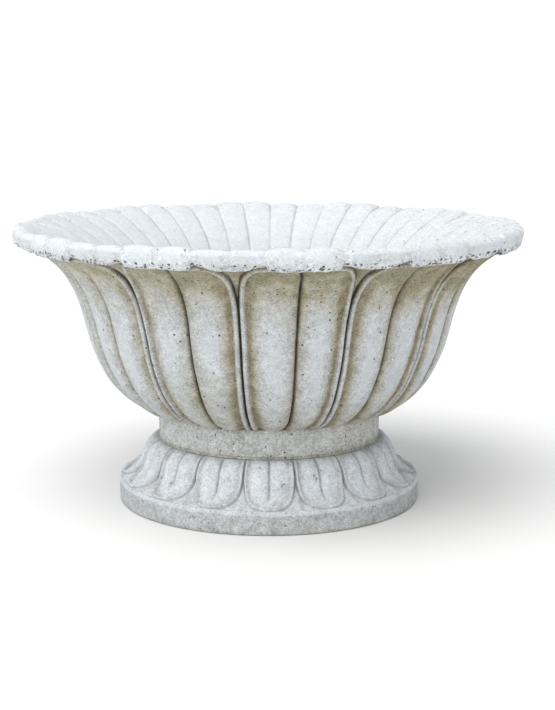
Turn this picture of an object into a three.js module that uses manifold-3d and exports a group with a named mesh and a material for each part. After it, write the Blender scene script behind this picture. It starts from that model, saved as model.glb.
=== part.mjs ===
import * as THREE from "three";
import { mergeVertices } from "three/addons/utils/BufferGeometryUtils.js";
import Module from "manifold-3d";

// Lotus urn planter in cast stone: a petalled bowl with a plain neck drum, bedded on a separate round foot.
// Millimetres, +Z up. The origin is the centre of the foot's underside. Azimuth 0 is the -Y side, and the seam between two petals lies there.

// Driving dimensions
const RIM_R = 450; // tip of the scalloped lip
const CREST_Z = 500; // highest line of the lip
const PETALS = 12; // two pillow lobes each
const SCALLOPS = 48; // lip scallops, and flutes inside
const NECK_R = 198;
const JOINT_Z = 112; // seat on top of the foot
const BED = 4; // mortar bed between foot and drum, bare gaps of 0.3 included
const GAP = 0.3;
const DRUM_Z0 = JOINT_Z + BED;
const FLOOR_Z = 215; // flat floor inside the bowl
const DRAIN_R = 21; // cast hole for the sleeve
const SLEEVE_OUT_R = DRAIN_R - GAP;
const SLEEVE_IN_R = 17.2;
const SLEEVE_Z0 = 96; // drip edge, inside the hollow foot
const PLINTH_R = 271;
const LEAVES = 16;
const LEAF_AZ = 8; // degrees, midrib of the first leaf on the foot
const FOOT_HOLLOW_R = 196; // at the ground
const FOOT_EYE_R = 62; // open centre of the seat
const DOWEL_R = 6;
const DOWEL_RING_R = 128;
const DOWEL_Z = [82, 156]; // ends of the blind holes
const DOWEL_AZ = [30, 150, 270];
const BOWL_COLUMNS = 96;
const FOOT_COLUMNS = 96;

const wasm = await Module();
wasm.setup();

const rad = THREE.MathUtils.degToRad;

// A closed profile [R, z, relief amplitude, relief kind] turned about Z, each point moved outwards by its relief.
function turned(profile, columns, relief) {
  const pts = profile.map(([r, z]) => new THREE.Vector2(r, z));
  pts.push(pts[0].clone());
  const g = new THREE.LatheGeometry(pts, columns);
  const pos = g.getAttribute("position");
  const rows = pts.length;
  for (let i = 0; i <= columns; i++) {
    const az = (360 * (i % columns)) / columns;
    const s = Math.sin(rad(az)),
      c = -Math.cos(rad(az));
    for (let j = 0; j < rows; j++) {
      const [r, z, amp = 0, kind = ""] = profile[j % profile.length];
      const [dr, dz] = amp ? relief(az, kind, amp) : [0, 0];
      pos.setXYZ(i * rows + j, (r + dr) * s, (r + dr) * c, z + dz);
    }
  }
  return closed(g);
}

function closed(geometry) {
  geometry.deleteAttribute("normal");
  geometry.deleteAttribute("uv");
  return mergeVertices(geometry, 1e-3);
}

function solid(geometry) {
  const g = closed(geometry.clone());
  const made = new wasm.Manifold(
    new wasm.Mesh({
      numProp: 3,
      vertProperties: g.getAttribute("position").array,
      triVerts: new Uint32Array(g.index.array),
    }),
  );
  return made;
}

function geometryOf(manifold) {
  const m = manifold.getMesh();
  const g = new THREE.BufferGeometry();
  g.setAttribute(
    "position",
    new THREE.BufferAttribute(Float32Array.from(m.vertProperties), 3),
  );
  g.setIndex(new THREE.BufferAttribute(Uint32Array.from(m.triVerts), 1));
  g.computeVertexNormals();
  return g;
}

// A turned mesh that faces inwards is flipped, so a profile may run either way.
function outward(geometry) {
  const g = closed(geometry);
  const p = g.getAttribute("position"),
    ix = g.index.array;
  const a = new THREE.Vector3(),
    b = new THREE.Vector3(),
    c = new THREE.Vector3();
  let v = 0;
  for (let i = 0; i < ix.length; i += 3) {
    a.fromBufferAttribute(p, ix[i]);
    b.fromBufferAttribute(p, ix[i + 1]);
    c.fromBufferAttribute(p, ix[i + 2]);
    v += a.dot(b.cross(c));
  }
  if (v < 0)
    for (let i = 0; i < ix.length; i += 3)
      [ix[i + 1], ix[i + 2]] = [ix[i + 2], ix[i + 1]];
  return g;
}

// Height of a pillow across one lobe: t is -1..1 between its two grooves.
const pillow = (t) => Math.pow(Math.max(0, 1 - t * t), 0.55);
const across = (az, pitch) => {
  const u = (((az % pitch) + pitch) % pitch) / pitch;
  return 2 * u - 1;
};

// --- bowl: petals outside, rolled and scalloped lip, flutes inside, floor, drain hole and neck drum in one casting
const BOWL_PROFILE = [
  [NECK_R, DRUM_Z0],
  [NECK_R + 1.5, 161.5],
  [207, 162, 1.5, "petal"],
  [218, 165, 3, "petal"],
  [236, 174.5, 5, "petal"],
  [262, 197, 6.5, "petal"],
  [284, 226, 7.5, "petal"],
  [296.5, 252, 8, "petal"],
  [308.5, 280, 8, "petal"],
  [317.5, 310, 8, "petal"],
  [325, 340, 8, "petal"],
  [333, 368, 8, "petal"],
  [343, 394, 8, "petal"],
  [356.5, 417, 7.5, "petal"],
  [375, 438, 6, "petal"],
  [399, 455, 4, "petal"],
  [425, 464.5, 4, "lip"],
  [438, 469, 5, "lip"],
  [445, 477, 5, "lip"],
  [445, 486, 5, "lip"],
  [440, 494.5, 4, "lip"],
  [430, CREST_Z - 1, 1, "crest"],
  [414, CREST_Z - 1.5, 1, "crest"],
  [394, 493, 3, "flute"],
  [370, 483, 3, "flute"],
  [345, 468, 3, "flute"],
  [322, 449, 3, "flute"],
  [304, 425, 3, "flute"],
  [291, 395, 2.5, "flute"],
  [280, 360, 2, "flute"],
  [268, 325, 1.5, "flute"],
  [252, 290],
  [230, 258],
  [200, 234],
  [165, FLOOR_Z],
  [DRAIN_R, FLOOR_Z],
  [DRAIN_R, DRUM_Z0],
];

function bowlRelief(az, kind, amp) {
  if (kind === "petal") return [amp * pillow(across(az, 180 / PETALS)), 0];
  const scallop = pillow(across(az, 360 / SCALLOPS));
  if (kind === "lip") return [amp * scallop, 0];
  if (kind === "crest") return [0, amp * scallop];
  return [-amp * (1 - scallop) * 0.6, amp * 0.4 * scallop]; // flutes: shallow grooves down the inside
}

// --- foot: ring of leaves on an ogee, plain plinth ring, hollow below, open in the middle
const FOOT_PROFILE = [
  [PLINTH_R - 5, 0],
  [PLINTH_R - 2, 4],
  [PLINTH_R, 22],
  [PLINTH_R, 37],
  [PLINTH_R - 2, 43],
  [259, 48.5, 2, "leaf"],
  [244, 54, 3, "leaf"],
  [233, 63, 3.5, "leaf"],
  [227, 76, 4, "leaf"],
  [222.5, 89, 4, "leaf"],
  [216, 100, 4, "leaf"],
  [208.5, 108, 3, "leaf"],
  [200.5, JOINT_Z, 0],
  [FOOT_EYE_R, JOINT_Z],
  [FOOT_EYE_R, 72],
  [140, 70],
  [168, 56],
  [184, 34],
  [FOOT_HOLLOW_R, 0],
];

function footRelief(az, kind, amp) {
  const t = across(az - LEAF_AZ, 180 / LEAVES);
  return [amp * pillow(t), 0];
}

// A round bar or ring along Z, about its own centre line.
function ring(outR, inR, z0, z1, columns) {
  const profile =
    inR > 0
      ? [
          [outR, z0],
          [outR, z1],
          [inR, z1],
          [inR, z0],
        ]
      : null;
  if (profile) return outward(turned(profile, columns, () => [0, 0]));
  const g = new THREE.CylinderGeometry(outR, outR, z1 - z0, columns);
  g.rotateX(Math.PI / 2);
  g.translate(0, 0, (z0 + z1) / 2);
  return closed(g);
}

function dowelAt(az, r, z0, z1) {
  const g = ring(r, 0, z0, z1, 12);
  g.translate(
    DOWEL_RING_R * Math.sin(rad(az)),
    -DOWEL_RING_R * Math.cos(rad(az)),
    0,
  );
  return g;
}

const holes = DOWEL_AZ.map((az) =>
  solid(dowelAt(az, DOWEL_R + GAP, DOWEL_Z[0], DOWEL_Z[1])),
);
function drilled(geometry) {
  let m = solid(geometry);
  for (const h of holes) m = m.subtract(h);
  return geometryOf(m);
}

const stone = (color) =>
  new THREE.MeshStandardMaterial({ color, roughness: 0.93, metalness: 0 });
const materials = {
  bowl: stone(0xcdd0cd),
  foot: stone(0xc6cbce),
  mortar: new THREE.MeshStandardMaterial({ color: 0x9c998c, roughness: 1 }),
  sleeve: new THREE.MeshStandardMaterial({ color: 0x55585a, roughness: 0.6 }),
  steel: new THREE.MeshStandardMaterial({
    color: 0xb4b6b8,
    roughness: 0.35,
    metalness: 1,
  }),
};

const group = new THREE.Group();
function add(name, geometry, material) {
  const mesh = new THREE.Mesh(geometry, material);
  mesh.name = name;
  group.add(mesh);
}

add(
  "bowl",
  drilled(outward(turned(BOWL_PROFILE, BOWL_COLUMNS, bowlRelief))),
  materials.bowl,
);
add(
  "base",
  drilled(outward(turned(FOOT_PROFILE, FOOT_COLUMNS, footRelief))),
  materials.foot,
);
add(
  "mortar_bed",
  drilled(ring(NECK_R - 2.5, FOOT_EYE_R + 3, JOINT_Z + GAP, DRUM_Z0 - GAP, 96)),
  materials.mortar,
);
add(
  "drain_sleeve",
  ring(SLEEVE_OUT_R, SLEEVE_IN_R, SLEEVE_Z0, FLOOR_Z, 32),
  materials.sleeve,
);
DOWEL_AZ.forEach((az, i) =>
  add(
    `dowel_${i + 1}`,
    dowelAt(az, DOWEL_R, DOWEL_Z[0] + GAP, DOWEL_Z[1] - GAP),
    materials.steel,
  ),
);

export default group;
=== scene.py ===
import math

import bpy
import numpy as np
from mathutils import Matrix, Vector


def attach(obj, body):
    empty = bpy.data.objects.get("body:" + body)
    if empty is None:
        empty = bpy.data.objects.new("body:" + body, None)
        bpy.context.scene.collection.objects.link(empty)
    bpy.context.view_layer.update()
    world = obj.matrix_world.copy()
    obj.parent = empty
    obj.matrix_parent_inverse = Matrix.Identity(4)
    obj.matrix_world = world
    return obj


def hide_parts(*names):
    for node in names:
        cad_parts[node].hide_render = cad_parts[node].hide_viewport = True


# Lotus urn planter in cast stone. Shapes are worked out in millimetres and written in metres, in the row frame.
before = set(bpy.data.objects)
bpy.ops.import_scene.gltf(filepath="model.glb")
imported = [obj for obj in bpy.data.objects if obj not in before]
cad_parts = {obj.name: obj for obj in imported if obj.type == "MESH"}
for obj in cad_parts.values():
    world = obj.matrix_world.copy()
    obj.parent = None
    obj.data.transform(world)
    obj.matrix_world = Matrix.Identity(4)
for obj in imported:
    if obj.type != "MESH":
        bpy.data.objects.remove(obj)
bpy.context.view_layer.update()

MM = 0.001
PETALS, LEAVES = 12, 16
PITCH = 2 * math.pi / PETALS  # one petal, seam to seam
HALF = PITCH / 2  # seam to midrib
NOTCH = math.radians(7.5)  # one lip scallop, one flute
LEAF_AZ = math.radians(8.0)
JOINT_Z, DRUM_Z0, FLOOR_Z = 112.0, 116.0, 215.0
DOWEL_AZ, DOWEL_RING, DOWEL_HOLE = (30, 150, 270), 128.0, 6.3


# ---------------------------------------------------------------- small tools
def smooth(x, a=0.0, b=1.0):
    t = np.clip((np.asarray(x, float) - a) / (b - a), 0, 1)
    return t * t * (3 - 2 * t)


def _hash(ix, iy, iz, seed):
    h = (
        ix.astype(np.int64) * 374761393
        + iy.astype(np.int64) * 668265263
        + iz.astype(np.int64) * 2147483647
        + seed * 1274126177
    ) & 0xFFFFFFFF
    h = ((h ^ (h >> 13)) * 1274126177) & 0xFFFFFFFF
    h = ((h ^ (h >> 16)) * 2246822519) & 0xFFFFFFFF
    h = h ^ (h >> 15)
    return (h & 0xFFFFFF) / float(0xFFFFFF) * 2 - 1


def noise3(P, size, seed=0):
    """Value noise in -1..1 at points P (n, 3), one cell being size long."""
    Q = P / size
    f = np.floor(Q)
    t = Q - f
    t = t * t * (3 - 2 * t)
    f = f.astype(np.int64)
    out = 0.0
    for dx in (0, 1):
        for dy in (0, 1):
            for dz in (0, 1):
                w = (
                    (t[:, 0] if dx else 1 - t[:, 0])
                    * (t[:, 1] if dy else 1 - t[:, 1])
                    * (t[:, 2] if dz else 1 - t[:, 2])
                )
                out = out + w * _hash(f[:, 0] + dx, f[:, 1] + dy, f[:, 2] + dz, seed)
    return out


def fbm(P, size, seed=0, octaves=3, gain=0.5):
    out, a, tot = 0.0, 1.0, 0.0
    for k in range(octaves):
        out = out + a * noise3(P, size / 2**k, seed + 17 * k)
        tot += a
        a *= gain
    return out / tot


class Profile:
    """A smooth curve through (R, z) points, by arc length in mm. Its normal points out of the stone."""

    def __init__(self, pts, per=40):
        p = np.array(pts, float)
        q = np.vstack([2 * p[0] - p[1], p, 2 * p[-1] - p[-2]])
        knots = np.concatenate(
            [[0], np.cumsum(np.sqrt(np.linalg.norm(np.diff(q, axis=0), axis=1)))]
        )
        out = []
        for i in range(1, len(q) - 2):
            t0, t1, t2, t3 = knots[i - 1 : i + 3]
            p0, p1, p2, p3 = q[i - 1 : i + 3]
            for t in np.linspace(t1, t2, per, endpoint=False):
                a1 = (t1 - t) / (t1 - t0) * p0 + (t - t0) / (t1 - t0) * p1
                a2 = (t2 - t) / (t2 - t1) * p1 + (t - t1) / (t2 - t1) * p2
                a3 = (t3 - t) / (t3 - t2) * p2 + (t - t2) / (t3 - t2) * p3
                b1 = (t2 - t) / (t2 - t0) * a1 + (t - t0) / (t2 - t0) * a2
                b2 = (t3 - t) / (t3 - t1) * a2 + (t - t1) / (t3 - t1) * a3
                out.append((t2 - t) / (t2 - t1) * b1 + (t - t1) / (t2 - t1) * b2)
        out.append(p[-1])
        self.p = np.array(out)
        self.s = np.concatenate(
            [[0], np.cumsum(np.linalg.norm(np.diff(self.p, axis=0), axis=1))]
        )
        self.length = self.s[-1]
        g = np.gradient(self.p, self.s, axis=0)
        g /= np.linalg.norm(g, axis=1)[:, None]
        self.n = np.stack([g[:, 1], -g[:, 0]], 1)

    def at(self, s):
        return np.interp(s, self.s, self.p[:, 0]), np.interp(s, self.s, self.p[:, 1])

    def normal(self, s):
        return np.interp(s, self.s, self.n[:, 0]), np.interp(s, self.s, self.n[:, 1])

    def s_of_z(self, z, lo=0.0, hi=None):
        """Arc length where the curve first passes height z between lo and hi."""
        k = (self.s >= lo) & (self.s <= (hi if hi is not None else self.length))
        i = np.argmin(np.abs(self.p[k, 1] - z))
        return self.s[k][i]


def poly_distance(x, y, poly):
    """Distance from points to a polyline, all in mm."""
    best = np.full(np.shape(x), 1e9)
    for (x0, y0), (x1, y1) in zip(poly[:-1], poly[1:]):
        dx, dy = x1 - x0, y1 - y0
        t = np.clip(((x - x0) * dx + (y - y0) * dy) / (dx * dx + dy * dy + 1e-12), 0, 1)
        best = np.minimum(best, np.hypot(x - x0 - t * dx, y - y0 - t * dy))
    return best


class Builder:
    """Rings of vertices stitched into one closed body, with a colour mask on every vertex."""

    def __init__(self):
        self.co, self.mask, self.faces, self.n = [], [], [], 0

    def ring(self, az, R, z, mask=None):
        """One ring: az rising through one turn. R and z in mm, mask (n, 4) in 0..1."""
        az = np.asarray(az, float)
        R = np.broadcast_to(R, az.shape)
        z = np.broadcast_to(z, az.shape)
        P = np.stack([R * np.sin(az), -R * np.cos(az), z], 1)
        m = np.zeros((len(az), 4)) if mask is None else np.asarray(mask, float)
        self.co.append(P)
        self.mask.append(m)
        idx = np.arange(self.n, self.n + len(az))
        self.n += len(az)
        return idx

    def points(self, P, mask=None):
        P = np.asarray(P, float)
        self.co.append(P)
        self.mask.append(np.zeros((len(P), 4)) if mask is None else mask)
        idx = np.arange(self.n, self.n + len(P))
        self.n += len(P)
        return idx

    def quads(self, a, b, skip=()):
        """Faces between two rings with the same number of points, a before b along the profile."""
        n = len(a)
        for i in range(n):
            if i in skip:
                continue
            j = (i + 1) % n
            self.faces.append((a[i], a[j], b[j], b[i]))

    def stitch(self, a, az_a, b, az_b):
        """Faces between two rings with any numbers of points."""
        i = j = 0
        na, nb = len(a), len(b)
        A = np.concatenate([az_a, [az_a[0] + 2 * math.pi]])
        B = np.concatenate([az_b, [az_b[0] + 2 * math.pi]])
        while i < na or j < nb:
            if j >= nb or (i < na and A[i + 1] <= B[j + 1]):
                self.faces.append((a[i % na], a[(i + 1) % na], b[j % nb]))
                i += 1
            else:
                self.faces.append((a[i % na], b[(j + 1) % nb], b[j % nb]))
                j += 1

    def array(self):
        return np.vstack(self.co), np.vstack(self.mask)

    def make(self, name, co=None, mask=None, flat=False):
        C, M = self.array()
        co = C if co is None else co
        mask = M if mask is None else mask
        used = np.zeros(len(co), bool)
        for f in self.faces:
            used[list(f)] = True
        new = np.cumsum(used) - 1
        faces = [tuple(int(new[v]) for v in f) for f in self.faces]
        co, mask = co[used] * MM, np.clip(mask[used], 0, 1)
        tri = np.array([(f[0], f[k], f[k + 1]) for f in faces for k in range(1, len(f) - 1)])
        a, b, c = co[tri[:, 0]], co[tri[:, 1]], co[tri[:, 2]]
        if np.einsum("ij,ij->i", a, np.cross(b, c)).sum() < 0:
            faces = [f[::-1] for f in faces]
        me = bpy.data.meshes.new(name)
        me.from_pydata(co.tolist(), [], faces)
        me.validate()
        att = me.color_attributes.new("mask", "FLOAT_COLOR", "POINT")
        att.data.foreach_set("color", mask.astype(np.float32).ravel())
        me.polygons.foreach_set("use_smooth", [not flat] * len(me.polygons))
        me.update()
        o = bpy.data.objects.new(name, me)
        bpy.context.collection.objects.link(o)
        return o


def turn(n, start=0.0):
    return start + np.arange(n) * 2 * math.pi / n


def seat_holes(rings, az):
    """Places of three dowel holes in a flat seat. rings are three neighbouring rings with the same columns."""
    n = len(az)
    skips = set()
    tubes = []
    for d in DOWEL_AZ:
        c = int(round((math.radians(d) - az[0]) / (2 * math.pi / n))) % n
        cx, cy = DOWEL_RING * math.sin(math.radians(d)), -DOWEL_RING * math.cos(math.radians(d))
        loop = (
            [rings[0][(c + k) % n] for k in (-2, -1, 0, 1, 2)]
            + [rings[1][(c + 2) % n]]
            + [rings[2][(c + k) % n] for k in (2, 1, 0, -1, -2)]
            + [rings[1][(c - 2) % n]]
        )
        skips |= {(c + k) % n for k in (-2, -1, 0, 1)}
        tubes.append((cx, cy, loop))
    return skips, tubes


def sink_tubes(B, tubes, z_seat, z_end):
    """Bends each loop onto its circle and sinks a round blind hole from it."""
    co, _ = B.array()
    for cx, cy, loop in tubes:
        ang = np.array([math.atan2(co[v][1] - cy, co[v][0] - cx) for v in loop])
        for v, a in zip(loop, ang):
            # the array of each ring is written in place
            k = v
            for block in B.co:
                if k < len(block):
                    block[k] = (cx + DOWEL_HOLE * math.cos(a), cy + DOWEL_HOLE * math.sin(a), z_seat)
                    break
                k -= len(block)
        deep = B.points(
            np.stack([cx + DOWEL_HOLE * np.cos(ang), cy + DOWEL_HOLE * np.sin(ang), np.full(len(ang), z_end)], 1)
        )
        m = len(loop)
        for i in range(m):
            j = (i + 1) % m
            B.faces.append((loop[i], loop[j], deep[j], deep[i]))
        B.faces.append(tuple(int(v) for v in deep))


# ---------------------------------------------------------------- bowl
# Height of the pillow tops. Grooves, channels and beads are sunk below it.
OUTER = Profile(
    [
        (199.6, 164.6), (203.5, 163.4), (209.5, 163.2), (221, 166.0), (239, 175.0),
        (266.5, 197), (290.5, 226), (304.5, 252), (316.5, 280), (325.5, 310),
        (333, 340), (341, 367.5), (350.5, 391), (362.5, 411.5), (379, 430.5), (399, 446),
        (418, 455.2), (434.5, 460.4),
    ]
)
INNER = Profile(
    [
        (436.0, 460.9), (441.5, 462.6), (446.6, 467.2), (449.3, 474.6), (449.6, 482.4),
        (448.3, 489.6), (444.8, 495.2), (439.0, 498.0), (431.5, 497.4), (421, 493.8),
        (407, 487.4), (389, 478.6), (367, 466.5), (343, 452.0), (321, 435.5), (303.5, 415), (291, 389),
        (280, 360), (268, 325), (252, 290), (230, 258), (203, 233), (178, 219.5), (158, 215.2), (150, 215.0),
    ]
)
S_T = OUTER.length
S_Y = OUTER.s_of_z(384)  # where a petal's edge leaves the seam
FAN = 5
SEAM = 1.5  # half width of the seam's floor
# the petal's edge above the fork, as (distance from the seam, arc length)
FORK = Profile([(SEAM, S_Y - 12), (SEAM, S_Y)] + [(e, OUTER.s_of_z(z)) for e, z in ((3.2, 406), (6.2, 425), (11.8, 440.5), (21, 449.5), (31, 455.5))] + [(43.0, S_T)])


def edge_offset(s):
    """Distance in mm from the seam's line to the petal's edge."""
    return np.where(np.asarray(s) <= S_Y, SEAM, np.interp(s, FORK.p[:, 1], FORK.p[:, 0]))


def half_columns(s):
    """Distances in mm from the seam of one half petal's columns at arc length s, seam first and midrib last."""
    R, _ = OUTER.at(s)
    W = float(R * HALF)
    e = float(edge_offset(s))
    fan = [e * k / FAN for k in range(FAN)]
    bead = [e + d for d in (0, 1.2, 2.8, 4.7, 6.6, 8.2, 9.5, 11.4, 14.0, 17.5, 22.0)]
    mid = [W - m for m in (11.5, 8.0, 5.6, 3.8, 2.4, 1.2, 0.0)]
    gap = mid[0] - bead[-1]
    if gap < 6:
        k = max(0.2, (mid[0] - e - 3) / (22.0 + 3))
        bead = [e + d * k for d in (0, 1.2, 2.8, 4.7, 6.6, 8.2, 9.5, 11.4, 14.0, 17.5, 22.0)]
        gap = mid[0] - bead[-1]
    fill = [bead[-1] + gap * (k + 1) / 8 for k in range(7)]
    return np.array(fan + bead + fill + mid)


def petal_outline():
    """The petal's edge as (x from the seam, s) from its foot, up the seam, round the corner and along the lip."""
    ss = np.linspace(-6, S_T, 90)
    side = [(float(edge_offset(max(s, 0))), s) for s in ss]
    R, _ = OUTER.at(S_T)
    return side + [(float(R * HALF) + 5, S_T)]


OUTLINE = petal_outline()


def petal_relief(x, s, wob):
    """Height below the pillow tops, and masks, for points of a half petal. x and s in mm."""
    R, _ = OUTER.at(s)
    W = R * HALF
    m = np.abs(W - x)
    e = edge_offset(s)
    inside = x >= e
    d = poly_distance(x, s, OUTLINE)
    # the corner between the side and the lip is rounded inside the bead
    slope = np.clip((edge_offset(s + 1) - edge_offset(s - 1)) / 2, 0, 3)
    d_side = np.abs(x - e) / np.sqrt(1 + slope**2)
    d_top = np.maximum(S_T - s, 0)
    r = 20.0
    a, b = np.clip(d_side, 0, r), np.clip(d_top, 0, r)
    d_round = r - np.hypot(r - a, r - b)
    d_in = np.where((d_side < r) & (d_top < r), d_round, np.minimum(d_side, d_top))
    d_in = np.minimum(d_in, np.where(inside, d, d_in))
    d_in = np.maximum(d_in, 0)
    bottom = np.maximum(s, 0)
    # bead
    t = np.clip((d_in - 4.6) / 4.6, -1, 1)
    bead = (1 - t * t) ** 0.5 * (1.0 + 0.05 * wob)
    full = 9.0  # pillow above channel
    dome = 2.4
    rise = 1 - np.exp(-(np.maximum(d_in - 8.8, 0) / 13.0) ** 1.3)
    c = np.clip((x - e - 9) / np.maximum(W - e - 9, 1), 0, 1)
    crown = dome * (1 - ((c - 0.5) / 0.5) ** 2)
    pillow = -full + (full - dome) * rise + crown * rise
    bead_h = -full - 0.9 + 7.4 * bead
    h = np.where(d_in < 9.2, np.maximum(bead_h, pillow), pillow)
    # midrib crease, open from the foot to just under the lip
    top_fade = 1 - smooth(s, S_T - 32, S_T - 11)
    crease = (7.6 * np.exp(-((m / 2.4) ** 2)) + 3.2 * np.exp(-((m / 11.0) ** 2))) * top_fade
    h = np.where(inside, h - crease, h)
    # outside the petal: the groove, and above the fork the leaf behind
    open_ = smooth((e - SEAM) / 30.0)
    u = np.clip(x / np.maximum(e, 0.1), 0, 1)
    back = -11.5 + 5.0 * open_ * (1 - u**2.2) - 1.5 * open_ * np.exp(-((x / 2.2) ** 2))
    h = np.where(inside, h, back)
    # rounded foot of the pillows
    foot = smooth(bottom, -1, 15)
    h = h * (0.42 + 0.58 * foot)
    # masks: groove dirt, with painted shade in the seams and a painted shadow at the petal's foot under its overhang;
    # stain, in places painted shade; clean
    g_seam = np.where(inside, 0.8 * np.exp(-((d_in / 0.9) ** 2)), np.exp(-(((d_side - 1.2) / 1.7) ** 2)))
    g_seam = np.where((~inside) & (e < 3.2), 1.0, g_seam)
    g_mid = np.exp(-((m / 2.1) ** 2)) * top_fade
    # painted shadow: a dark line along the petal's foot, under its overhang
    foot_shadow = np.exp(-((bottom / 3.4) ** 2))
    groove_dirt_and_shade = np.maximum.reduce([g_seam * (1 - 0.2 * smooth(e, 20, 45)), g_mid, foot_shadow])
    high = smooth(s, S_T - 176, S_T - 25)
    # towards the foot the stain mask is raised: part rain stain, part painted shade on the lower petals
    low = 1 - smooth(bottom, 8, 150)
    channel = np.exp(-(((d_in - 11.5) / np.where(d_in > 11.5, 11.5, 3.5)) ** 2)) * inside
    near_mid = np.exp(-((m / 9.0) ** 2)) * inside * top_fade
    stain_and_shade = channel * (1.10 + 0.25 * high) + near_mid * (0.62 + 0.25 * high) + 1.19 * high**1.25 + 0.38 * low
    # the recessed leaf behind, between the petals' tops under the lip: brown stain and painted under-lip shade
    stain_and_shade = np.where(inside, stain_and_shade, 1.1)
    on_bead = np.clip(bead, 0, 1) * inside * (d_in < 9.2)
    lipbead = np.exp(-((d_top / 7.0) ** 2)) * on_bead * (0.30 + 0.70 * smooth(x - e, 6, 32))
    stain_and_shade = stain_and_shade * (1 - 0.48 * on_bead) * (1 - 0.9 * lipbead)
    groove_dirt_and_shade = groove_dirt_and_shade * (1 - 0.85 * lipbead)
    crest = np.clip(1 - ((c - 0.50) / 0.42) ** 2, 0, 1) ** 1.3 * inside * (1 - 0.85 * high) * (1 - 0.75 * low)
    clean = np.clip(lipbead + 0.25 * on_bead + 0.85 * crest, 0, 1)
    return h, np.stack([groove_dirt_and_shade, np.clip(stain_and_shade, 0, 1.25) / 1.25, clean, on_bead * 0.2], -1)


def notch_fields(az, R):
    """Distance in mm to the nearest lip notch, its weight (every second one is deeper), and how much the place is on a back petal's lip."""
    k = np.round(az / NOTCH)
    dn = np.abs(az - k * NOTCH) * R
    deep = np.where(k.astype(int) % 2 == 0, 1.0, 0.72)
    q = np.abs((az + HALF) % PITCH - HALF)  # angle from the nearest seam
    back = 1 - smooth(q, NOTCH - 0.006, NOTCH + 0.004)
    step = np.exp(-(((q - NOTCH) * R / 2.5) ** 2))
    return dn, deep, back, step


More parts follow.
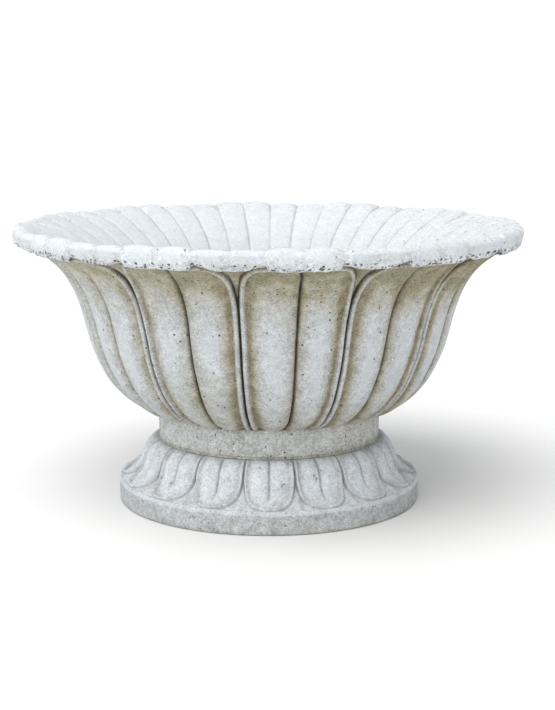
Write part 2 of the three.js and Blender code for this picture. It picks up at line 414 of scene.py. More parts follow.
def build_bowl():
    B = Builder()
    rng = np.random.default_rng(7)
    petal_amp = rng.normal(0, 1, PETALS * 2)
    # underside of the drum, with its dowel holes, from the drain outwards
    n0 = 160
    az0 = turn(n0)
    under = [21.0, 40, 70, 100, 119, 128, 137, 155, 175, 192]
    first = B.ring(az0, under[0], DRUM_Z0)
    rings = {under[0]: first}
    zero = np.tile([0.0, 0.25, 0, 0], (n0, 1))
    for R in under[1:]:
        rings[R] = B.ring(az0, R, DRUM_Z0, zero)
    skips, tubes = seat_holes([rings[119], rings[128], rings[137]], az0)
    for a, b in zip(under[:-1], under[1:]):
        B.quads(rings[a], rings[b], skips if (a, b) in ((119, 128), (128, 137)) else ())
    sink_tubes(B, tubes, DRUM_Z0, 155.9)
    # neck drum
    n1 = 400
    az1 = turn(n1)
    rows = [(197.9, 116.1), (198.3, 117.0)] + [(198.3 + 1.3 * (z - 118) / 45, z) for z in np.linspace(120, 160, 13)] + [(199.6, 162.6), (199.4, 164.2)]
    last = None
    for k, (R, z) in enumerate(rows):
        m = np.zeros((n1, 4))
        # painted shadow: a dark band at the neck's top under the petals' overhang; at its foot the band is part stain,
        # part painted shade at the joint
        low, high = math.exp(-(((z - 116) / 7.0) ** 2)), math.exp(-(((z - 166) / 7.0) ** 2))
        m[:, 1] = 0.03 + 0.20 * low + 0.34 * high
        m[:, 0] = 0.85 * math.exp(-(((z - 165) / 2.4) ** 2))
        m[:, 3] = 0.30
        r = B.ring(az1, R, z, m)
        if last is None:
            B.stitch(rings[192], az0, r, az1)
        else:
            B.quads(last, r)
        last = r
    # petals
    s_rows = np.concatenate(
        [
            np.linspace(0.0, 22, 11),
            np.linspace(27, S_Y - 12, 44),
            np.linspace(S_Y - 7, S_T - 16, 24),
            np.linspace(S_T - 14.6, S_T, 13),
        ]
    )
    az_last, first_petal = None, True
    for s in s_rows:
        x = half_columns(s)
        R0, z0 = (float(v) for v in OUTER.at(s))
        nR, nz = (float(v) for v in OUTER.normal(s))
        az_all, h_all, m_all = [], [], []
        for p in range(PETALS):
            for side in (0, 1):
                wob = petal_amp[2 * p + side]
                h, m = petal_relief(x, np.full(len(x), s), wob)
                h = h + 0.35 * wob * smooth(x, 20, 40)
                q = x / R0
                if side == 0:
                    az_all.append(p * PITCH + q[:-1])
                    h_all.append(h[:-1])
                    m_all.append(m[:-1])
                else:
                    az_all.append((p + 1) * PITCH - q[::-1][:-1])
                    h_all.append(h[::-1][:-1])
                    m_all.append(m[::-1][:-1])
        az, h, m = np.concatenate(az_all), np.concatenate(h_all), np.vstack(m_all)
        r = B.ring(az, R0 + nR * h, z0 + nz * h, m)
        if first_petal:
            B.stitch(last, az1, r, az)
            first_petal = False
        else:
            B.quads(last, r)
        last, az_last = r, az
    n_outside = B.n
    # lip, flutes and wall inside
    def per_notch(ts):
        """Azimuths of one turn, crowded around each notch. ts are the places between a notch and the next lobe's top."""
        one = [-t for t in ts[:0:-1]] + list(ts) + [1.0]
        return np.array([(k + 0.5 * t) * NOTCH for k in range(48) for t in one])

    az_lip = per_notch((0, 0.035, 0.085, 0.15, 0.23, 0.32, 0.43, 0.56, 0.70, 0.85))
    az_in = per_notch((0, 0.05, 0.13, 0.27, 0.48, 0.74))
    vary = rng.uniform(0.55, 1.15, 48)
    s_rows = [(s, az_lip) for s in np.concatenate([np.linspace(0, 34, 18), np.linspace(37, 66, 10)])]
    s_rows += [(s, az_in) for s in np.concatenate([np.linspace(70, 118, 12), np.linspace(126, INNER.length - 60, 34)])]
    for s, az2 in s_rows:
        R0, z0 = (float(v) for v in INNER.at(s))
        nR, nz = (float(v) for v in INNER.normal(s))
        dn, deep, back, step = notch_fields(az2, R0)
        own = vary[np.round(az2 / NOTCH).astype(int) % 48] * (0.92 - 0.30 * np.cos(az2))
        face = smooth(s, 0, 9)
        inward = smooth(s, 54, 98)
        fade = 1 - smooth(s, 170, 380)
        aside = np.abs((az2 + HALF) % PITCH - HALF) * R0  # mm from the nearest seam
        half = R0 * NOTCH / 2
        lobe = 1 - np.clip(dn / half, 0, 1)
        lip_h = -own * (1.4 * np.exp(-((dn / 3.6) ** 2)) + 4.1 * lobe**1.6)
        flute_h = -deep * (2.0 * np.exp(-((dn / 1.8) ** 2)) + 2.2 * lobe**1.6)
        crest = smooth(s, 30, 52)
        h = (lip_h * (1 - inward) + flute_h * inward) * (0.30 + 0.22 * face + 0.48 * crest) * fade
        w_back = back * (1 - smooth(s, 16, 38))
        dR = -4.2 * w_back
        dz = 6.2 * smooth(aside, 12, 54) * back * (1 - smooth(s, 5, 26))
        dz = dz - 3.4 * back * smooth(s, 28, 44) * (1 - smooth(s, 58, 120))  # petals in front stand higher
        cut = step * (1 - smooth(s, 4, 14)) * (0.55 + 0.40 * own)
        h = h - 2.0 * cut
        # painted shade: a dark line at the step between the lips and along the receding lip's lower edge over the
        # petals behind
        cut = np.maximum(cut * 0.8, 0.9 * back * smooth(aside, 20, 34) * (1 - smooth(s, 0.5, 4.0)))
        m = np.zeros((len(az2), 4))
        m[:, 0] = 0.14 * own * np.exp(-((dn / 1.8) ** 2)) * (1 - inward) + 0.36 * np.exp(-((dn / 1.5) ** 2)) * deep * inward * fade
        m[:, 0] = np.maximum(m[:, 0], cut)
        m[:, 1] = 0.22 * (1 - smooth(s, 0, 8)) + 0.10 * own * lobe**3 * (1 - inward) + 0.30 * smooth(s, 260, 520)
        # painted shade: the inner wall is made less clean towards the right-hand side
        m[:, 2] = smooth(s, -4, 5) * (1 - (0.04 + 0.24 * np.maximum(np.sin(az2), 0)) * smooth(s, 30, 80) - 0.40 * smooth(s, 260, 520))
        m[:, 3] = smooth(s, 0, 4) * (1 - smooth(s, 13, 32))  # pitted face, most at its lower edge
        r = B.ring(az2, R0 + nR * h + dR, z0 + nz * h + dz, m)
        if az2 is az_last:
            B.quads(last, r)
        else:
            B.stitch(last, az_last, r, az2)
        last, az_last = r, az2
    # floor, drain hole
    az3 = turn(n0)
    for R, z in ((170, 217.4), (150, 215.6), (110, 215.2), (70, 215.1), (40, 215.0), (26, 215.0), (22.4, 214.6), (21.0, 213.2), (21.0, 190), (21.0, 150), (21.0, 118)):
        m = np.zeros((n0, 4))
        m[:, 1], m[:, 2] = 0.45, 0.3
        r = B.ring(az3, R, z, m)
        if az_last is az3:
            B.quads(last, r)
        else:
            B.stitch(last, az_last, r, az3)
        last, az_last = r, az3
    B.quads(last, first)
    co, mask = B.array()
    # hand-cast unevenness: slow waves on the walls, small knocks and pits on the lip's face
    Rr = np.hypot(co[:, 0], co[:, 1])
    free = smooth(co[:, 2], 118, 124) * (Rr > 40)
    N = np.stack([co[:, 0] / Rr, co[:, 1] / Rr, np.zeros(len(co))], 1)
    T = np.stack([-N[:, 1], N[:, 0], np.zeros(len(co))], 1)
    up = smooth(co[:, 2], 492, 498)
    walls = smooth(co[:, 2], 160, 190) * (Rr > 170)
    drift = walls * (1.5 * fbm(co, 105, 91, 2) + 0.35 * fbm(co, 24, 93, 2))
    # no midrib stands quite in the middle of its petal, and no two petals are stained alike; the stain mask is also
    # raised on the right-hand side and lowered on the left as painted shade and light
    az = np.arctan2(co[:, 0], -co[:, 1]) % (2 * math.pi)
    petal = np.minimum((az / PITCH).astype(int), PETALS - 1)
    lean = np.concatenate([[4.2], rng.normal(0, 1.9, PETALS - 1)])
    within = np.arange(len(co)) >= n_outside
    outer = walls * (1 - smooth(co[:, 2], 446, 459)) * ~within
    drift = drift + outer * lean[petal] * np.sin(math.pi * (az / PITCH - petal)) ** 2
    turn_to = (az + math.pi) % (2 * math.pi) - math.pi
    # painted shade and light: the stain mask is nearly doubled on the right-hand side and cut on the left, where the
    # light falls; the noise term is real variety between petals
    gain = 1 + 0.95 * np.exp(-(((turn_to - 1.27) / 0.50) ** 2)) - 0.40 * np.exp(-(((turn_to + 0.9) / 0.50) ** 2))
    gain = gain + 0.12 * fbm(co, 260, 95, 2)
    spill = 0.30 * np.exp(-(((turn_to + 0.24) / 0.20) ** 2) -((co[:, 2] - 232) / 40.0) ** 2) * outer
    mask[:, 1] = np.clip(mask[:, 1] * np.where(Rr > 198, gain, 1) + spill, 0, 1)
    w = 0.7 * fbm(co, 80, 3, 2) + 0.28 * fbm(co, 17, 5, 2)
    neck = smooth(co[:, 2], 118, 124) * (1 - smooth(co[:, 2], 158, 164)) * (Rr > 190) * (Rr < 204)
    w = w + neck * 0.45 * fbm(co, 7, 9, 2)
    face = mask[:, 3] * (Rr > 405)
    chips = np.maximum(fbm(co, 7, 21, 3) - 0.08, 0) * 3.6 + np.maximum(fbm(co, 26, 33, 2) - 0.30, 0) * 6.0
    dent = -np.minimum(chips, 2.4) * face
    w = w * (1 - 0.5 * up) + dent
    sign = 1 - 2 * within * (1 - smooth(Rr, 395, 425))
    ragged = (Rr > 425) * smooth(co[:, 2], 455, 460) * (1 - smooth(co[:, 2], 466, 476)) * 1.6 * fbm(co, 9, 51, 3)
    co = co + N * (w * free * sign)[:, None] + T * drift[:, None]
    co[:, 2] += ragged - up * np.abs(0.6 * fbm(co, 22, 41, 2))
    far = np.hypot(co[:, 0], co[:, 1])
    cap = np.minimum(1.0, 449.8 / np.maximum(far, 1e-6))
    co[:, 0] *= cap
    co[:, 1] *= cap
    for axis in (0, 1):
        co[:, axis] = np.clip(co[:, axis], -449.0, 449.0)
    co[:, 2] = np.minimum(co[:, 2], 499.9)
    mask[:, 0] = np.maximum(mask[:, 0], np.clip(-dent / 2.4 - 0.15, 0, 1) * 0.30 * face)
    return B.make("bowl_casting", co, mask)


# ---------------------------------------------------------------- foot
LEAF = Profile(
    [
        (199.5, 111.6), (203.5, 112.0), (208.5, 110.6), (214.5, 106.6), (220.5, 99.5), (226, 89.5),
        (230, 78), (235, 66.5), (243.5, 57.5), (255, 51.2), (265, 46.6), (270.2, 41.5), (271.0, 35.5),
    ]
)


def leaf_relief(x, s, W):
    """Height over the ogee and masks, for one leaf: x is the distance in mm from its midrib, W half its width."""
    L = LEAF.s_of_z(43.6)
    s1 = 0.36 * L
    v = np.clip((s - s1) / (L - s1), 0, 1)
    ss = np.linspace(-8, L, 60)
    vv = np.clip((ss - s1) / (L - s1), 0, 1)
    Rl, _ = LEAF.at(np.maximum(ss, 0))
    Wl = Rl * math.pi / LEAVES
    side = (Wl - 1.0) * np.sqrt(np.clip(1 - vv**2.05, 0, 1))
    poly = [(float(a), float(b)) for a, b in zip(side, ss)]
    d = poly_distance(np.abs(x), s, poly)
    lim = (W - 1.0) * np.sqrt(np.clip(1 - v**2.05, 0, 1))
    inside = (np.abs(x) <= lim) & (s <= L)
    di = np.where(inside, d, 0)
    t = np.clip((di - 3.0) / 3.0, -1, 1)
    bead = (1 - t * t) ** 0.7
    rise = 1 - np.exp(-(np.maximum(di - 5.4, 0) / 8.5) ** 1.3)
    end = smooth(s, 0.0, 6)
    taper = 1 - 0.45 * smooth(s, 0.55 * L, 0.95 * L)
    pillow = -6.2 + 6.2 * rise * taper
    bead_h = -6.4 + 5.6 * bead
    h = np.where(di < 6.2, np.maximum(bead_h, pillow), pillow)
    rib_fade = 1 - smooth(s, 0.60 * L, 0.84 * L)
    crease = (3.4 * np.exp(-((x / 2.2) ** 2)) + 2.4 * np.exp(-((x / 7.5) ** 2))) * rib_fade
    h = np.where(inside, h - crease, h)
    # between the tips: a pointed leaf behind, with a ridge
    gap = W - np.abs(x)
    open_ = smooth(np.maximum(W - 1.0 - lim, 0), 2, 16)
    behind = -7.6 + 4.4 * open_ * np.exp(-((gap / 5.5) ** 2)) + 1.2 * open_
    behind = behind + 5.4 * smooth(s, L - 4, L + 7)
    h = np.where(inside, h, behind)
    rim = smooth(s, L - 1, L + 6)
    h = h * (1 - rim) + (-0.2) * rim
    h = h * (0.04 + 0.96 * end)
    # the leaf lines are dirt and painted shade, darker than the soft light alone makes them
    g = np.where(inside, np.exp(-((di / 1.1) ** 2)) * 0.7, np.exp(-(((d - 0.8) / 1.6) ** 2)))
    tight = smooth(s, 0.16 * L, 0.34 * L) * (1 - smooth(s, 0.52 * L, 0.70 * L))
    groove_dirt_and_shade = np.maximum.reduce([g * (0.42 + 0.24 * tight),0.40 * np.exp(-((x / 2.0) ** 2)) * rib_fade * inside, 0.05 * np.exp(-((s / 2.2) ** 2))])
    groove_dirt_and_shade = groove_dirt_and_shade * (1 - rim)
    # at the joint the stain is part dirt, part painted shade under the neck
    stain_and_shade = 0.26 * np.exp(-(((di - 7) / 4.0) ** 2)) * inside + 0.36 * np.exp(-((s / 7.0) ** 2)) + np.where(inside, 0.02, 0.10)
    stain_and_shade = stain_and_shade * (1 - rim)
    clean = 1.0 - 0.35 * rim + 0 * s
    return h, np.stack([groove_dirt_and_shade, stain_and_shade, clean * (1 - 0.5 * groove_dirt_and_shade), rim * 0], -1)


def build_foot():
    B = Builder()
    n0 = 160
    az0 = turn(n0)
    # hollow underside and eye, from the ground's inner edge up to the seat
    zero = np.tile([0.1, 0.4, 0, 0.6], (n0, 1))
    hollow = [(196.0, 0.3), (194.5, 2.0), (190, 18), (184, 34), (177, 46), (168, 56), (155, 64), (140, 69.5), (110, 71), (80, 71.8), (64.5, 72.2), (62.0, 74.5), (62.0, 92), (62.0, 110.0), (63.5, 112.0)]
    seat = [80, 100, 119, 128, 137, 155, 175, 192]
    prev, first = None, None
    for R, z in hollow:
        r = B.ring(az0, R, z, zero)
        if prev is not None:
            B.quads(prev, r)
        else:
            first = r
        prev = r
    rings = {}
    for R in seat:
        rings[R] = B.ring(az0, R, JOINT_Z, zero)
    skips, tubes = seat_holes([rings[119], rings[128], rings[137]], az0)
    B.quads(prev, rings[80])
    for a, b in zip(seat[:-1], seat[1:]):
        B.quads(rings[a], rings[b], skips if (a, b) in ((119, 128), (128, 137)) else ())
    sink_tubes(B, tubes, JOINT_Z, 82.1)
    # leaves, outwards and down
    per = 58
    t = np.arange(per) / per * 2 - 1  # -1..1 across a leaf, denser at edge and midrib
    warp = t - 0.085 * np.sin(2 * math.pi * t)
    az1 = np.concatenate([LEAF_AZ + (k + warp / 2) * 2 * math.pi / LEAVES for k in range(LEAVES)])
    s_rows = np.concatenate([np.linspace(0.0, 14, 9), np.linspace(15.8, LEAF.length - 26, 46), np.linspace(LEAF.length - 24.5, LEAF.length, 18)])
    rng = np.random.default_rng(11)
    amp = rng.normal(0, 1, LEAVES)
    prev = rings[192]
    started = False
    for s in s_rows:
        R0, z0 = (float(v) for v in LEAF.at(s))
        nR, nz = (float(v) for v in LEAF.normal(s))
        nR, nz = -nR, -nz  # this curve runs downwards outside
        W = R0 * math.pi / LEAVES
        x = warp * W
        h, m = leaf_relief(x, np.full(per, s), W)
        hh = np.concatenate([h * (1 + 0.05 * amp[k]) for k in range(LEAVES)])
        mm = np.vstack([m] * LEAVES)
        r = B.ring(az1, R0 + nR * hh, z0 + nz * hh, mm)
        if not started:
            B.stitch(prev, az0, r, az1)
            started = True
        else:
            B.quads(prev, r)
        prev = r
    # plinth side
    n2 = 440
    az2 = turn(n2)
    for k, z in enumerate([33.0, 29.0, 25.0, 21.0, 17.0, 13.0, 9.0, 5.5, 3.0, 1.2, 0.3]):
        R = 271.0 - 0.012 * (33 - z) - (2.6 * ((3.2 - z) / 3.2) ** 2 if z < 3.2 else 0)
        m = np.zeros((n2, 4))
        m[:, 1] = 0.10 + 0.30 * math.exp(-((z / 7.0) ** 2))
        m[:, 2] = 0.40 * math.exp(-(((z - 38) / 6.0) ** 2))
        m[:, 3] = 0.49
        r = B.ring(az2, R, z, m)
        if k == 0:
            B.stitch(prev, az1, r, az2)
        else:
            B.quads(prev, r)
        prev = r
    r = B.ring(az2, 266.0, 0.0, m)
    B.quads(prev, r)
    inner = B.ring(az0, 197.5, 0.0, zero)
    B.stitch(r, az2, inner, az0)
    B.quads(inner, first)
    co, mask = B.array()
    Rr = np.hypot(co[:, 0], co[:, 1])
    N = np.stack([co[:, 0] / Rr, co[:, 1] / Rr, np.zeros(len(co))], 1)
    w = 0.40 * fbm(co, 55, 63, 2) + 0.15 * fbm(co, 13, 65, 2)
    w = w + (Rr > 265) * (co[:, 2] < 36) * 0.32 * fbm(co, 5.5, 69, 2)
    outer = (Rr > 203) & (co[:, 2] > 0.6)
    w = w * outer
    # small chips: azimuth in degrees, height, width, length, depth
    ang = np.arctan2(co[:, 0], -co[:, 1])
    for deg, z, wide, high, depth in (
        (14.2, 77, 3.4, 1.8, 1.8), (27.6, 88, 1.8, 3.6, 1.6), (28.6, 83, 2.0, 2.0, 1.4), (3.8, 103, 1.8, 1.6, 1.6),
        (-38, 62, 2.2, 2.0, 1.5), (96, 80, 3.0, 2.0, 1.6), (171, 71, 2.2, 3.0, 1.7), (-122, 92, 3.0, 1.6, 1.5),
    ):
        near = np.exp(-(((ang - math.radians(deg)) * Rr / wide) ** 2) - ((co[:, 2] - z) / high) ** 2) * (Rr > 203)
        w = w - depth * near
        mask[:, 0] = np.maximum(mask[:, 0], 0.85 * near)
    co = co + N * w[:, None]
    far = np.hypot(co[:, 0], co[:, 1])
    cap = np.minimum(1.0, 270.9 / far)
    co[:, 0] *= cap
    co[:, 1] *= cap
    return B.make("foot_casting", co, mask)


# ---------------------------------------------------------------- bed, sleeve
def build_bed():
    B = Builder()
    n = 320
    az = turn(n)
    a = np.stack([200 * np.sin(az), -200 * np.cos(az), np.zeros(n)], 1)
    edge = 199.0 + 0.9 * fbm(a, 22, 81, 3) + 0.4 * fbm(a, 6, 83, 2)
    n0 = 160
    az0 = turn(n0)
    ins = [66.0, 90, 119, 128, 137, 160, 185]
    bot, top = {}, {}
    m0 = np.tile([0.2, 0.6, 0, 0.6], (n0, 1))
    for R in ins:
        bot[R] = B.ring(az0, R, JOINT_Z + 0.3, m0)
    for R in ins:
        top[R] = B.ring(az0, R, DRUM_Z0 - 0.3, m0)
    cols = {int(round(math.radians(d) / (2 * math.pi / n0))) % n0 for d in DOWEL_AZ}
    skips = {(c + k) % n0 for c in cols for k in (-2, -1, 0, 1)}
    for u, v in zip(ins[:-1], ins[1:]):
        k = skips if (u, v) in ((119, 128), (128, 137)) else ()
        B.quads(bot[v], bot[u], k)
        B.quads(top[u], top[v], k)
    B.quads(bot[66.0], top[66.0])
    # walls of the three dowel holes
    for d in DOWEL_AZ:
        c = int(round(math.radians(d) / (2 * math.pi / n0))) % n0
        cx, cy = DOWEL_RING * math.sin(math.radians(d)), -DOWEL_RING * math.cos(math.radians(d))

        def loop(g):
            return (
                [g[119][(c + k) % n0] for k in (-2, -1, 0, 1, 2)]
                + [g[128][(c + 2) % n0]]
                + [g[137][(c + k) % n0] for k in (2, 1, 0, -1, -2)]
                + [g[128][(c - 2) % n0]]
            )

        lb, lt = loop(bot), loop(top)
        co, _ = B.array()
        for lo in (lb, lt):
            for v in lo:
                ang = math.atan2(co[v][1] - cy, co[v][0] - cx)
                k = v
                for block in B.co:
                    if k < len(block):
                        block[k, 0], block[k, 1] = cx + DOWEL_HOLE * math.cos(ang), cy + DOWEL_HOLE * math.sin(ang)
                        break
                    k -= len(block)
        m = len(lb)
        for i in range(m):
            j = (i + 1) % m
            B.faces.append((lt[i], lt[j], lb[j], lb[i]))
    me = np.tile([0.0, 0.32, 0, 0.45], (n, 1))
    rows = [(-1.4, 115.8), (-1.1, 115.4), (-0.9, 114.5), (-0.5, 113.6), (0.2, 112.9), (0.8, 112.35), (-2.0, 112.25)]
    prev = None
    for dr, z in rows:
        lump = 0.35 * fbm(a + np.array([0, 0, z]), 5, 87, 2)
        r = B.ring(az, edge + dr + lump, z, me)
        if prev is None:
            B.stitch(top[185], az0, r, az)
        else:
            B.quads(prev, r)
        prev = r
    B.stitch(prev, az, bot[185], az0)
    return B.make("bedding_mortar")


def lathe(name, profile, n):
    B = Builder()
    az = turn(n)
    prev, first = None, None
    for R, z in profile:
        r = B.ring(az, R, z)
        if prev is not None:
            B.quads(prev, r)
        else:
            first = r
        prev = r
    B.quads(prev, first)
    return B.make(name)


def build_sleeve():
    return lathe(
        "drain_pipe",
        [
            (18.0, 96.0), (19.9, 96.1), (20.6, 96.9), (20.65, 110), (20.65, 140), (20.65, 170), (20.65, 200), (20.65, 213.6),
            (20.4, 214.6), (19.6, 215.0), (18.2, 214.9), (17.5, 214.2), (17.3, 213.0), (17.3, 190), (17.3, 160), (17.3, 130), (17.3, 100), (17.4, 96.8),
        ],
        72,
    )


# ---------------------------------------------------------------- materials
class Nodes:
    def __init__(self, name):
        self.m = bpy.data.materials.new(name)
        self.m.use_nodes = True
        self.t = self.m.node_tree
        self.t.nodes.clear()
        self.out = self.t.nodes.new("ShaderNodeOutputMaterial")
        self.bsdf = self.t.nodes.new("ShaderNodeBsdfPrincipled")
        self.link(self.bsdf.outputs[0], self.out.inputs["Surface"])

    def link(self, a, b):
        self.t.links.new(a, b)

    def new(self, kind, **inputs):
        n = self.t.nodes.new(kind)
        for k, v in inputs.items():
            s = n.inputs[k.replace("_", " ")]
            if hasattr(v, "links"):
                self.link(v, s)
            else:
                s.default_value = v
        return n

    def coords(self, scale=(1, 1, 1)):
        if not hasattr(self, "_tc"):
            self._tc = self.t.nodes.new("ShaderNodeTexCoord").outputs["Object"]
        if scale == (1, 1, 1):
            return self._tc
        n = self.new("ShaderNodeMapping", Vector=self._tc)
        n.inputs["Scale"].default_value = scale
        return n.outputs[0]

    def noise(self, scale, detail=3.0, rough=0.55, vec=None, distort=0.0):
        n = self.new("ShaderNodeTexNoise", Vector=vec or self.coords(), Scale=scale, Detail=detail, Roughness=rough, Distortion=distort)
        return n.outputs["Fac"]

    def voronoi(self, scale, vec=None, feature="F1"):
        n = self.new("ShaderNodeTexVoronoi", Vector=vec or self.coords(), Scale=scale)
        n.feature = feature
        return n

    def math(self, op, a, b=0.0, c=0.0, clamp=False):
        n = self.t.nodes.new("ShaderNodeMath")
        n.operation = op
        n.use_clamp = clamp
        for i, v in enumerate((a, b, c)):
            if hasattr(v, "links"):
                self.link(v, n.inputs[i])
            else:
                n.inputs[i].default_value = v
        return n.outputs[0]

    def ramp(self, v, a, b, lo=0.0, hi=1.0, kind="SMOOTHSTEP"):
        n = self.t.nodes.new("ShaderNodeMapRange")
        n.interpolation_type = kind
        for i, x in enumerate((v, a, b, lo, hi)):
            if hasattr(x, "links"):
                self.link(x, n.inputs[i])
            else:
                n.inputs[i].default_value = x
        return n.outputs[0]

    def mix(self, fac, a, b):
        n = self.t.nodes.new("ShaderNodeMix")
        n.data_type = "RGBA"
        for s, v in ((n.inputs["Factor"], fac), (n.inputs["A"], a), (n.inputs["B"], b)):
            if hasattr(v, "links"):
                self.link(v, s)
            elif isinstance(v, tuple):
                s.default_value = (*v, 1.0)
            else:
                s.default_value = v
        return [o for o in n.outputs if o.type == "RGBA"][0]

    def mask(self):
        n = self.t.nodes.new("ShaderNodeAttribute")
        n.attribute_name = "mask"
        s = self.t.nodes.new("ShaderNodeSeparateColor")
        self.link(n.outputs["Color"], s.inputs[0])
        return s.outputs[0], s.outputs[1], s.outputs[2], n.outputs["Alpha"]

    def bump(self, height, distance, strength=1.0, normal=None):
        n = self.new("ShaderNodeBump", Height=height, Distance=distance, Strength=strength)
        if normal is not None:
            self.link(normal, n.inputs["Normal"])
        return n.outputs[0]


def stone(name, body, pale, stain_and_shade_c, dark_c, stain_and_shade_gain=1.0, sand=1.0, pits=1.0, hush=0.50, shade_band=None):
    """Weathered cast stone: sandy grain, cement mottling, soft rain stains, dirt in the grooves, casting pores, and
    painted shade carried by the stain and groove masks and by an optional band towards the underside.
    """
    k = Nodes(name)
    groove_dirt_and_shade, stain_and_shade, clean, rough_face = k.mask()
    sandy = k.noise(560, 3.0, 0.7)
    mottle = k.noise(34, 5.0, 0.62)
    blotch = k.noise(11, 4.0, 0.6, distort=0.6)
    streak = k.noise(1.0, 5.0, 0.62, vec=k.coords((70, 70, 7)))
    # body and clean stone
    base = k.mix(k.ramp(blotch, 0.38, 0.62, 0.0, 1.0), tuple(c * f for c, f in zip(body, (0.97, 0.985, 1.0))), tuple(c * f for c, f in zip(body, (1.03, 1.03, 1.05))))
    base = k.mix(clean, base, pale)
    base = k.mix(k.math("MULTIPLY", k.ramp(mottle, 0.42, 0.70, 0.0, 0.26), k.math("MULTIPLY_ADD", clean, -hush, 1.0)), base, tuple(c * 0.80 for c in body))
    # stains and painted shade, broken up by mottling and by runs down the wall
    fleck = k.noise(150, 4.0, 0.65)
    broken = k.math("MULTIPLY", k.ramp(mottle, 0.30, 0.70, 0.74, 1.26, "LINEAR"), k.ramp(streak, 0.30, 0.70, 0.84, 1.18, "LINEAR"))
    broken = k.math("MULTIPLY", broken, k.ramp(fleck, 0.30, 0.70, 0.80, 1.20, "LINEAR"))
    s = k.math("MULTIPLY", k.math("MULTIPLY", stain_and_shade, broken), 1.25 * stain_and_shade_gain)
    # loose clouds of stain on the worn tops too
    cloud = k.math("MULTIPLY", k.ramp(k.noise(21, 5.0, 0.62, distort=0.8), 0.47, 0.72, 0.0, 0.36), k.ramp(stain_and_shade, 0.005, 0.09))
    s = k.math("ADD", s, k.math("MULTIPLY", cloud, stain_and_shade_gain))
    col = k.mix(k.ramp(s, 0.0, 1.15, 0.0, 0.97, "LINEAR"), base, stain_and_shade_c)
    deep = tuple(0.60 * c for c in stain_and_shade_c)
    col = k.mix(k.ramp(s, 0.85, 1.7, 0.0, 0.85, "LINEAR"), col, deep)
    # sand: each grain has its own tone
    grains = k.voronoi(560)
    tone = k.new("ShaderNodeSeparateColor", Color=grains.outputs["Color"])
    coarse = k.voronoi(330)
    tone2 = k.new("ShaderNodeSeparateColor", Color=coarse.outputs["Color"])
    v = k.math("MULTIPLY_ADD", tone.outputs[0], 0.34 * sand, -0.17 * sand)
    v = k.math("ADD", v, k.ramp(tone2.outputs[1], 0.80, 1.0, 0.0, -0.17 * sand))
    v = k.math("ADD", v, k.ramp(tone2.outputs[0], 0.84, 1.0, 0.0, 0.10 * sand))
    v = k.math("ADD", v, k.math("MULTIPLY_ADD", sandy, 1.1 * sand, -0.55 * sand))
    v = k.math("ADD", v, k.math("MULTIPLY_ADD", fleck, 0.90 * sand, -0.45 * sand))
    v = k.math("ADD", v, k.math("MULTIPLY_ADD", k.noise(52, 3.0, 0.55), 0.60 * sand, -0.30 * sand))
    v = k.math("ADD", v, k.math("MULTIPLY_ADD", streak, 0.36 * sand, -0.18 * sand))
    wall = k.ramp(stain_and_shade, 0.001, 0.010)
    quiet = k.math("MULTIPLY_ADD", k.math("MULTIPLY", clean, k.math("MULTIPLY_ADD", wall, -0.50, 1.0)), -hush, 1.0)
    quiet = k.math("ADD", quiet, k.math("MULTIPLY", rough_face, 0.35))
    quiet = k.math("ADD", quiet, k.math("MULTIPLY", stain_and_shade, 0.40))
    v = k.math("MULTIPLY_ADD", v, quiet, 1.0)
    if shade_band:
        # painted shade: greyer towards the bowl's underside, from the petals' foot up to 0.37 m
        z = k.new("ShaderNodeSeparateXYZ", Vector=k.coords()).outputs[2]
        underside_shade = k.math("MULTIPLY", k.ramp(z, 0.1635, 0.170, 0.0, 1.0), k.ramp(z, shade_band[0], shade_band[1], shade_band[2], 0.0, "LINEAR"))
        v = k.math("MULTIPLY", v, k.math("SUBTRACT", 1.0, k.math("MULTIPLY", underside_shade, k.ramp(blotch, 0.30, 0.66, 0.70, 1.25, "LINEAR"))))
    hsv = k.new("ShaderNodeHueSaturation", Color=col, Value=v)
    col = hsv.outputs[0]
    # pores: a few per hand, and finer pinholes in patches
    v1 = k.voronoi(92)
    pick1 = k.new("ShaderNodeSeparateColor", Color=v1.outputs["Color"])
    r1 = k.ramp(pick1.outputs[0], 0.52, 1.0, 0.04, 0.19, "LINEAR")
    r1 = k.math("MULTIPLY", r1, k.math("GREATER_THAN", pick1.outputs[0], 0.52))
    pore1s = k.ramp(k.math("SUBTRACT", r1, v1.outputs["Distance"]), -0.02, 0.035)
    v2 = k.voronoi(300)
    pick2 = k.new("ShaderNodeSeparateColor", Color=v2.outputs["Color"])
    patch = k.ramp(k.noise(16, 3.0, 0.6), 0.48, 0.66, 0.0, 0.55)
    lim = k.math("MULTIPLY", k.math("ADD", patch, rough_face, clamp=True), 0.46)
    r2 = k.math("MULTIPLY", k.ramp(pick2.outputs[1], 0.55, 1.0, 0.0, 1.0, "LINEAR"), lim)
    pore2s = k.ramp(k.math("SUBTRACT", r2, v2.outputs["Distance"]), -0.05, 0.08)
    # ragged pits, only where the face is marked rough
    v3 = k.voronoi(165)
    pick3 = k.new("ShaderNodeSeparateColor", Color=v3.outputs["Color"])
    clump = k.ramp(k.noise(30, 3.0, 0.65), 0.36, 0.56, 0.40, 1.0)
    r3 = k.math("MULTIPLY", k.ramp(pick3.outputs[2], 0.20, 1.0, 0.16, 0.60, "LINEAR"), k.math("MULTIPLY", k.ramp(rough_face, 0.50, 0.88), clump))
    ragged = k.math("MULTIPLY_ADD", fleck, 0.30, -0.15)
    pore3s = k.ramp(k.math("ADD", k.math("SUBTRACT", r3, v3.outputs["Distance"]), k.math("MULTIPLY", ragged, k.math("GREATER_THAN", r3, 0.02))), -0.02, 0.05)
    pores = k.math("MAXIMUM", pore1s, k.math("MULTIPLY", pore2s, 0.85))
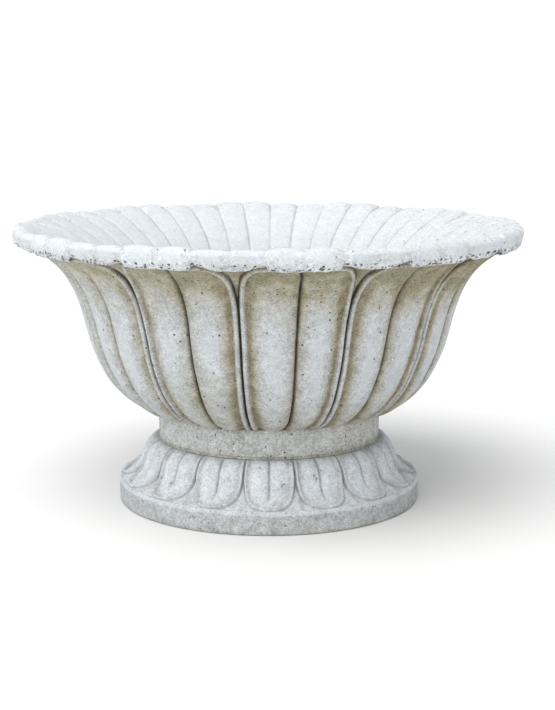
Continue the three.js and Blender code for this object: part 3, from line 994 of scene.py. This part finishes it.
    # washed places have few
    worn = k.math("ADD", k.math("MULTIPLY_ADD", k.ramp(clean, 0.55, 1.0), -1.5 * hush, 1.0), k.math("MULTIPLY", rough_face, 0.9), clamp=True)
    pores = k.math("MAXIMUM", k.math("MULTIPLY", pores, k.math("MAXIMUM", worn, k.math("MULTIPLY", wall, 0.8))), pore3s)
    pores = k.math("MULTIPLY", pores, pits, clamp=True)
    col = k.mix(k.math("MULTIPLY", pores, 0.88), col, tuple(c * 1.5 for c in dark_c))
    # dirt in the grooves, with painted shade in the seams and along the foot's leaf lines and a painted shadow at the
    # petals' foot
    g = k.math("MULTIPLY", groove_dirt_and_shade, k.ramp(mottle, 0.25, 0.60, 0.75, 1.12, "LINEAR"), clamp=True)
    col = k.mix(k.ramp(g, 0.05, 0.95, 0.0, 0.97, "LINEAR"), col, dark_c)
    k.link(col, k.bsdf.inputs["Base Color"])
    rough = k.ramp(mottle, 0.3, 0.7, 0.84, 0.96, "LINEAR")
    k.link(rough, k.bsdf.inputs["Roughness"])
    k.bsdf.inputs["Specular IOR Level"].default_value = 0.28
    # relief of the surface itself
    h = k.math("ADD", k.math("MULTIPLY", tone.outputs[2], 0.45), k.math("MULTIPLY", sandy, 0.9))
    h = k.math("MULTIPLY", h, quiet)
    n1 = k.bump(h, 0.0009, 0.60 * sand)
    n2 = k.bump(k.math("MULTIPLY", pores, -1.0), 0.0018, 0.9, n1)
    n3 = k.bump(k.noise(120, 4.0, 0.6), 0.0018, 0.40, n2)
    k.link(n3, k.bsdf.inputs["Normal"])
    return k.m


def plastic(name):
    k = Nodes(name)
    n = k.noise(60, 4.0, 0.6)
    line = k.noise(1.0, 2.0, 0.5, vec=k.coords((260, 260, 12)))
    dust = k.ramp(k.noise(22, 4.0, 0.65), 0.45, 0.7, 0.0, 0.55)
    col = k.mix(k.ramp(n, 0.35, 0.7), (0.070, 0.078, 0.082), (0.115, 0.122, 0.125))
    col = k.mix(dust, col, (0.26, 0.25, 0.22))
    k.link(col, k.bsdf.inputs["Base Color"])
    k.link(k.ramp(line, 0.3, 0.7, 0.42, 0.66, "LINEAR"), k.bsdf.inputs["Roughness"])
    k.link(k.bump(line, 0.0003, 0.4), k.bsdf.inputs["Normal"])
    return k.m


def steel(name):
    k = Nodes(name)
    line = k.noise(1.0, 3.0, 0.6, vec=k.coords((1500, 1500, 40)))
    n = k.noise(90, 3.0, 0.6)
    col = k.mix(k.ramp(n, 0.4, 0.75, 0.0, 0.5), (0.55, 0.56, 0.57), (0.36, 0.35, 0.33))
    k.link(col, k.bsdf.inputs["Base Color"])
    k.bsdf.inputs["Metallic"].default_value = 1.0
    k.link(k.ramp(line, 0.3, 0.7, 0.26, 0.46, "LINEAR"), k.bsdf.inputs["Roughness"])
    k.link(k.bump(line, 0.0002, 0.35), k.bsdf.inputs["Normal"])
    return k.m


def floor_material():
    k = Nodes("studio_floor")
    n = k.noise(3.0, 2.0, 0.5)
    k.link(k.mix(k.ramp(n, 0.3, 0.7), (0.86, 0.86, 0.86), (0.88, 0.88, 0.88)), k.bsdf.inputs["Base Color"])
    k.bsdf.inputs["Roughness"].default_value = 0.95
    k.bsdf.inputs["Specular IOR Level"].default_value = 0.1
    return k.m


BOWL_STONE = stone("bowl_stone", (0.585, 0.595, 0.58), (0.674, 0.708, 0.738), (0.378, 0.342, 0.232), (0.062, 0.047, 0.037), hush=0.72, shade_band=(0.20, 0.37, 0.15))
FOOT_STONE = stone("foot_stone", (0.49, 0.512, 0.517), (0.685, 0.72, 0.76), (0.36, 0.34, 0.285), (0.115, 0.108, 0.095), stain_and_shade_gain=0.8, sand=0.9, pits=0.7, hush=0.45)
MORTAR = stone("bed_mortar", (0.54, 0.54, 0.51), (0.55, 0.55, 0.52), (0.34, 0.315, 0.24), (0.10, 0.085, 0.07), sand=1.1)

bowl = build_bowl()
bowl.data.materials.append(BOWL_STONE)
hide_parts("bowl")

foot = build_foot()
foot.data.materials.append(FOOT_STONE)
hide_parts("base")

bed = build_bed()
bed.data.materials.append(MORTAR)
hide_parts("mortar_bed")

pipe = build_sleeve()
pipe.data.materials.append(plastic("drain_plastic"))
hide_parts("drain_sleeve")

for o in (bowl, foot, bed, pipe):
    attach(o, "root")

STEEL = steel("dowel_steel")
for i in (1, 2, 3):
    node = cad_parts[f"dowel_{i}"]
    node.data.materials.clear()
    node.data.materials.append(STEEL)

# ---------------------------------------------------------------- floor, light, camera
bpy.ops.mesh.primitive_plane_add(size=900, location=(0, 0, -0.0004))
floor = bpy.context.object
floor.name = "floor"
floor.data.materials.append(floor_material())

# studio: a bright band all round at floor level, walls above it that are brighter on the left, an even ceiling
world = bpy.data.worlds.new("studio")
bpy.context.scene.world = world
world.use_nodes = True
wt = world.node_tree
direction_of = wt.nodes.new("ShaderNodeTexCoord").outputs["Generated"]
xyz = wt.nodes.new("ShaderNodeSeparateXYZ")
wt.links.new(direction_of, xyz.inputs[0])


def world_ramp(value, a, b, lo, hi):
    n = wt.nodes.new("ShaderNodeMapRange")
    n.interpolation_type = "SMOOTHSTEP"
    wt.links.new(value, n.inputs[0])
    for i, x in enumerate((a, b, lo, hi)):
        if hasattr(x, "links"):
            wt.links.new(x, n.inputs[i + 1])
        else:
            n.inputs[i + 1].default_value = x
    return n.outputs[0]


sides = world_ramp(xyz.outputs[0], -0.85, 0.85, 1.02, 0.30)
dome = world_ramp(xyz.outputs[2], 0.35, 0.80, sides, 0.70)
level = world_ramp(xyz.outputs[2], 0.06, 0.24, 1.04, dome)
background = wt.nodes["Background"]
background.inputs[0].default_value = (0.97, 0.985, 1.0, 1)
wt.links.new(level, background.inputs[1])

sun_data = bpy.data.lights.new("soft_sun", "SUN")
sun_data.energy, sun_data.angle, sun_data.color = 2.1, math.radians(50), (1.0, 0.99, 0.97)
sun = bpy.data.objects.new("soft_sun", sun_data)
sun.rotation_euler = Vector((0.15, 0.44, -0.885)).to_track_quat("-Z", "Y").to_euler()
bpy.context.collection.objects.link(sun)

CAM_AZ = math.radians(7.6)
F_PX, PITCH_DOWN, DIST, HEIGHT = 1525.0, math.radians(10.333), 2.7045, 0.7493
ASIDE = 0.0155  # the camera stands a little to the right of the axis
cam_data = bpy.data.cameras.new("photo_camera")
cam_data.sensor_width = 36.0
cam_data.lens = F_PX * 36.0 / 710.0
cam_data.dof.use_dof = False
cam = bpy.data.objects.new("photo_camera", cam_data)
bpy.context.collection.objects.link(cam)
cam.location = (
    DIST * math.sin(CAM_AZ) + ASIDE * math.cos(CAM_AZ),
    -DIST * math.cos(CAM_AZ) + ASIDE * math.sin(CAM_AZ),
    HEIGHT,
)
direction = Vector((-math.sin(CAM_AZ) * math.cos(PITCH_DOWN), math.cos(CAM_AZ) * math.cos(PITCH_DOWN), -math.sin(PITCH_DOWN)))
cam.rotation_mode = "QUATERNION"
cam.rotation_quaternion = direction.to_track_quat("-Z", "Y")
bpy.context.scene.camera = cam
bpy.context.scene.view_settings.view_transform = "Standard"
